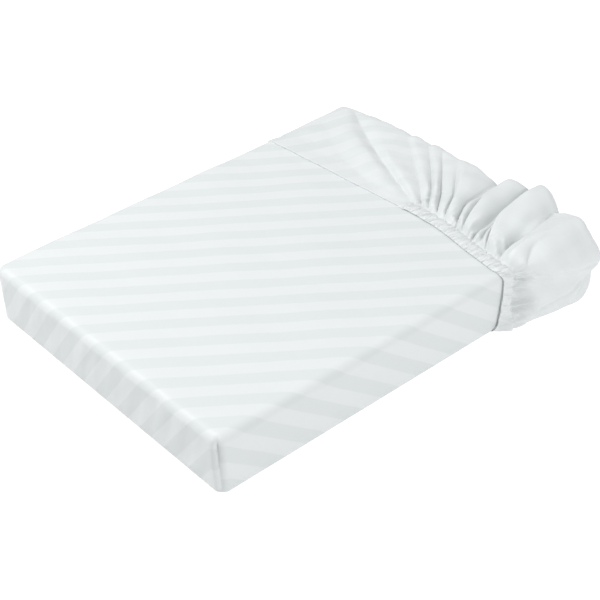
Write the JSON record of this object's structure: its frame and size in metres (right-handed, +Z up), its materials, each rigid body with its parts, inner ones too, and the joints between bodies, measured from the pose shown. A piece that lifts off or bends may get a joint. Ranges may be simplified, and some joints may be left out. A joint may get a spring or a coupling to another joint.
{
  "type": "folded fitted sheet",
  "caption": "Striped satin fitted sheet folded into a flat rectangular packet, with its elasticated corner pocket turned over one end in gathered puffs.",
  "frame": {"origin": "middle of the packet's underside, on the bottom ply", "axes": "+Z up, +X along the packet towards the gathered pocket, -Y towards the side where the elastic runs down"},
  "size_m": [0.3299, 0.2714, 0.058],
  "materials": {
    "satin": "white woven satin with tone-on-tone stripes",
    "elastic": "white ruched elastic hem"
  },
  "bodies": {
    "root": {"sheet": "satin", "elastic_edge": "elastic"}
  },
  "joints": []
}
